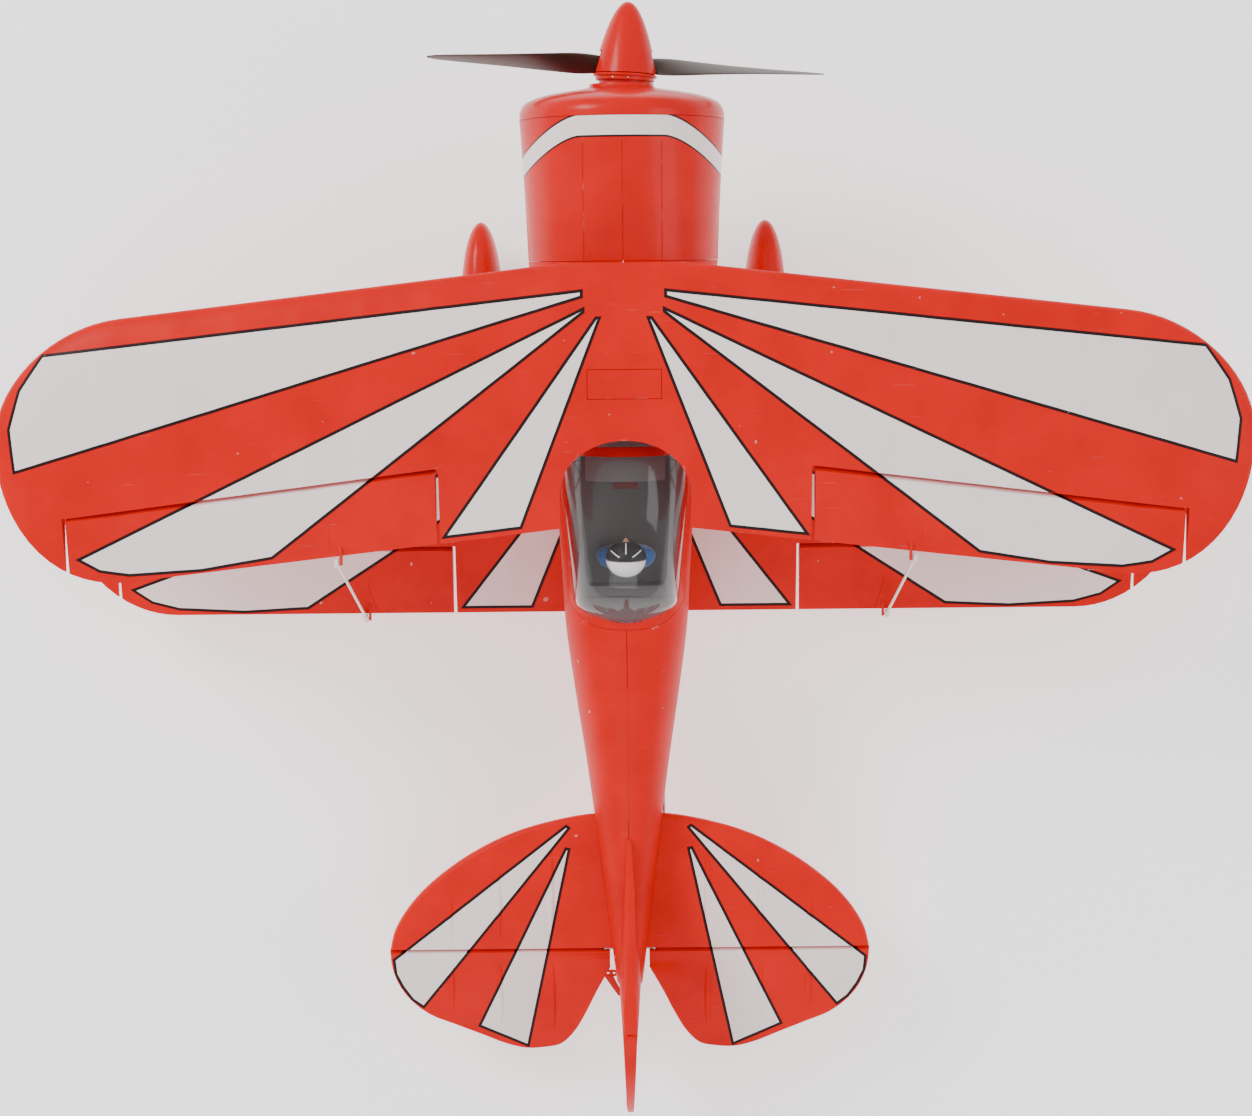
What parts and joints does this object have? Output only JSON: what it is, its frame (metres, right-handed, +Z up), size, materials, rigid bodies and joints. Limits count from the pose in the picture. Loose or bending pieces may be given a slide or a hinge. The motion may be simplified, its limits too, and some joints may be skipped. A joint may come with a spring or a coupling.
{
  "type": "rc biplane",
  "caption": "Foam sport biplane model with swept upper wing, coupled ailerons, elevator, rudder, steerable tailwheel, sliding canopy, pilot, spinner and two-blade propeller.",
  "frame": {"origin": "on the floor, under the middle of the bounding box, standing on its three wheels", "axes": "+X to the pilot's left wing tip, -Y to the nose, +Z up; the fuselage sits 10.5 degrees nose up"},
  "size_m": [0.85, 0.7917, 0.2824],
  "materials": {
    "red_foam": "painted foam, satin, white sunburst with dark pinstripes on the upper faces",
    "red_plastic": "gloss moulded",
    "black_plastic": "satin",
    "white_plastic": "satin",
    "canopy_glass": "clear moulded",
    "cockpit_grey": "matt",
    "pilot_figure": "painted",
    "steel": "bright wire",
    "aluminium": "brushed",
    "plywood": "bare birch ply",
    "copper": "enamelled windings",
    "battery_wrap": "shrink wrap",
    "tyre": "matt"
  },
  "bodies": {
    "airframe": {"fuselage_left": "red_foam", "fuselage_right": "red_foam", "cowl": "red_plastic", "nose_bowl": "red_plastic", "firewall": "plywood", "motor_stator": "copper", "battery": "battery_wrap", "speed_controller": "black_plastic", "receiver": "black_plastic", "elevator_servo": "black_plastic", "rudder_servo": "black_plastic", "upper_wing": "red_foam", "wing_plate": "red_plastic", "lower_wing": "red_foam", "aileron_servo_left": "black_plastic", "aileron_servo_right": "black_plastic", "cabane_left": "red_plastic", "cabane_right": "red_plastic", "interplane_strut_left": "red_plastic", "interplane_strut_right": "red_plastic", "fin": "red_foam", "stabilizer": "red_foam", "gear_leg_left": "aluminium", "gear_leg_right": "aluminium", "gear_mount": "plywood", "wheel_pant_left": "red_plastic", "wheel_pant_right": "red_plastic", "tailwheel_bracket": "aluminium", "cockpit_tub": "cockpit_grey", "instrument_panel": "cockpit_grey", "pilot_bust": "pilot_figure"},
    "propeller_unit": {"propeller": "black_plastic", "spinner": "red_plastic", "spinner_backplate": "red_plastic", "motor_bell": "black_plastic"},
    "elevator": {"elevator_left": "red_foam", "elevator_right": "red_foam", "elevator_joiner": "steel"},
    "rudder": {"rudder": "red_foam", "rudder_horn": "red_plastic"},
    "canopy": {"canopy_frame": "red_plastic", "canopy_glass": "canopy_glass"},
    "upper_aileron_left": {"upper_aileron_left": "red_foam"},
    "upper_aileron_right": {"upper_aileron_right": "red_foam"},
    "lower_aileron_left": {"lower_aileron_left": "red_foam"},
    "lower_aileron_right": {"lower_aileron_right": "red_foam"},
    "aileron_link_left": {"aileron_link_left": "white_plastic"},
    "aileron_link_right": {"aileron_link_right": "white_plastic"},
    "aileron_servo_arm_left": {"aileron_servo_arm_left": "white_plastic"},
    "aileron_servo_arm_right": {"aileron_servo_arm_right": "white_plastic"},
    "aileron_pushrod_left": {"aileron_pushrod_left": "steel"},
    "aileron_pushrod_right": {"aileron_pushrod_right": "steel"},
    "elevator_servo_arm": {"elevator_servo_arm": "white_plastic"},
    "elevator_pushrod": {"elevator_pushrod": "steel"},
    "rudder_servo_arm": {"rudder_servo_arm": "white_plastic"},
    "rudder_pushrod": {"rudder_pushrod": "steel"},
    "tailwheel_fork": {"tailwheel_fork": "steel"},
    "tailwheel": {"tailwheel": "tyre"},
    "wheel_left": {"wheel_left": "tyre"},
    "wheel_right": {"wheel_right": "tyre"}
  },
  "joints": [
    {"name": "propeller_spin", "type": "hinge", "parent": "airframe", "child": "propeller_unit", "pos_m": [0, -0.29748, 0.19253], "axis": [-0.0523, -0.9819, 0.182], "continuous": true},
    {"name": "wheel_left_spin", "type": "hinge", "parent": "airframe", "child": "wheel_left", "pos_m": [0.11, -0.22747, 0.027], "axis": [1, 0, 0], "continuous": true},
    {"name": "wheel_right_spin", "type": "hinge", "parent": "airframe", "child": "wheel_right", "pos_m": [-0.11, -0.22747, 0.027], "axis": [1, 0, 0], "continuous": true},
    {"name": "lower_aileron_left_hinge", "type": "hinge", "parent": "airframe", "child": "lower_aileron_left", "pos_m": [0.13, -0.02096, 0.08491], "axis": [1, 0, 0], "range_deg": [-20, 20]},
    {"name": "lower_aileron_right_hinge", "type": "hinge", "parent": "airframe", "child": "lower_aileron_right", "pos_m": [-0.13, -0.02096, 0.08491], "axis": [1, 0, 0], "range_deg": [-20, 20]},
    {"name": "upper_aileron_left_hinge", "type": "hinge", "parent": "airframe", "child": "upper_aileron_left", "pos_m": [0.128, -0.06473, 0.25373], "axis": [0.9923, 0.122, -0.0226], "range_deg": [-20, 20]},
    {"name": "upper_aileron_right_hinge", "type": "hinge", "parent": "airframe", "child": "upper_aileron_right", "pos_m": [-0.128, -0.06473, 0.25373], "axis": [0.9923, -0.122, 0.0226], "range_deg": [-20, 20]},
    {"name": "aileron_link_left_pivot", "type": "hinge", "parent": "lower_aileron_left", "child": "aileron_link_left", "pos_m": [0.1965, 0.03196, 0.07246], "axis": [1, 0, 0], "range_deg": [-20, 20]},
    {"name": "aileron_servo_arm_left_pivot", "type": "hinge", "parent": "airframe", "child": "aileron_servo_arm_left", "pos_m": [0.219, -0.0752, 0.09133], "axis": [1, 0, 0], "range_deg": [-20, 20]},
    {"name": "aileron_pushrod_left_pivot", "type": "hinge", "parent": "aileron_servo_arm_left", "child": "aileron_pushrod_left", "pos_m": [0.2216, -0.07775, 0.07756], "axis": [1, 0, 0], "range_deg": [-20, 20]},
    {"name": "aileron_link_right_pivot", "type": "hinge", "parent": "lower_aileron_right", "child": "aileron_link_right", "pos_m": [-0.1965, 0.03196, 0.07246], "axis": [1, 0, 0], "range_deg": [-20, 20]},
    {"name": "aileron_servo_arm_right_pivot", "type": "hinge", "parent": "airframe", "child": "aileron_servo_arm_right", "pos_m": [-0.219, -0.0752, 0.09133], "axis": [1, 0, 0], "range_deg": [-20, 20]},
    {"name": "aileron_pushrod_right_pivot", "type": "hinge", "parent": "aileron_servo_arm_right", "child": "aileron_pushrod_right", "pos_m": [-0.2216, -0.07775, 0.07756], "axis": [1, 0, 0], "range_deg": [-20, 20]},
    {"name": "elevator_hinge", "type": "hinge", "parent": "airframe", "child": "elevator", "pos_m": [0, 0.27871, 0.08574], "axis": [1, 0, 0], "range_deg": [-20, 20]},
    {"name": "elevator_servo_arm_pivot", "type": "hinge", "parent": "airframe", "child": "elevator_servo_arm", "pos_m": [-0.024, 0.06043, 0.1262], "axis": [1, 0, 0], "range_deg": [-20, 20]},
    {"name": "elevator_pushrod_pivot", "type": "hinge", "parent": "elevator_servo_arm", "child": "elevator_pushrod", "pos_m": [-0.0266, 0.05751, 0.11046], "axis": [1, 0, 0], "range_deg": [-20, 20]},
    {"name": "rudder_hinge", "type": "hinge", "parent": "airframe", "child": "rudder", "pos_m": [0, 0.30329, 0.08118], "axis": [0, 0.1822, 0.9833], "range_deg": [-30, 30]},
    {"name": "rudder_servo_arm_pivot", "type": "hinge", "parent": "airframe", "child": "rudder_servo_arm", "pos_m": [0, 0.06108, 0.10777], "axis": [0, 0.1822, 0.9833], "range_deg": [-30, 30]},
    {"name": "rudder_pushrod_pivot", "type": "hinge", "parent": "rudder_servo_arm", "child": "rudder_pushrod", "pos_m": [0.021, 0.06159, 0.10503], "axis": [0, 0.1822, 0.9833], "range_deg": [-30, 30]},
    {"name": "tailwheel_steer", "type": "hinge", "parent": "airframe", "child": "tailwheel_fork", "pos_m": [0, 0.31738, 0.04196], "axis": [0, 0.1822, 0.9833], "range_deg": [-30, 30]},
    {"name": "tailwheel_spin", "type": "hinge", "parent": "tailwheel_fork", "child": "tailwheel", "pos_m": [0, 0.32348, 0.009], "axis": [1, 0, 0], "continuous": true},
    {"name": "canopy_slide", "type": "slide", "parent": "airframe", "child": "canopy", "axis": [0, 0.8241, 0.5664], "range_m": [0, 0.12]}
  ],
  "couplings": [
    {"joint": "lower_aileron_right_hinge", "follows": "lower_aileron_left_hinge", "ratio": -1},
    {"joint": "upper_aileron_left_hinge", "follows": "lower_aileron_left_hinge", "ratio": 1},
    {"joint": "upper_aileron_right_hinge", "follows": "lower_aileron_left_hinge", "ratio": -1},
    {"joint": "aileron_link_left_pivot", "follows": "lower_aileron_left_hinge", "ratio": -1},
    {"joint": "aileron_servo_arm_left_pivot", "follows": "lower_aileron_left_hinge", "ratio": 1},
    {"joint": "aileron_pushrod_left_pivot", "follows": "lower_aileron_left_hinge", "ratio": -1},
    {"joint": "aileron_link_right_pivot", "follows": "lower_aileron_left_hinge", "ratio": 1},
    {"joint": "aileron_servo_arm_right_pivot", "follows": "lower_aileron_left_hinge", "ratio": -1},
    {"joint": "aileron_pushrod_right_pivot", "follows": "lower_aileron_left_hinge", "ratio": 1},
    {"joint": "elevator_servo_arm_pivot", "follows": "elevator_hinge", "ratio": 1},
    {"joint": "elevator_pushrod_pivot", "follows": "elevator_hinge", "ratio": -1},
    {"joint": "rudder_servo_arm_pivot", "follows": "rudder_hinge", "ratio": 1},
    {"joint": "rudder_pushrod_pivot", "follows": "rudder_hinge", "ratio": -1},
    {"joint": "tailwheel_steer", "follows": "rudder_hinge", "ratio": 1}
  ]
}
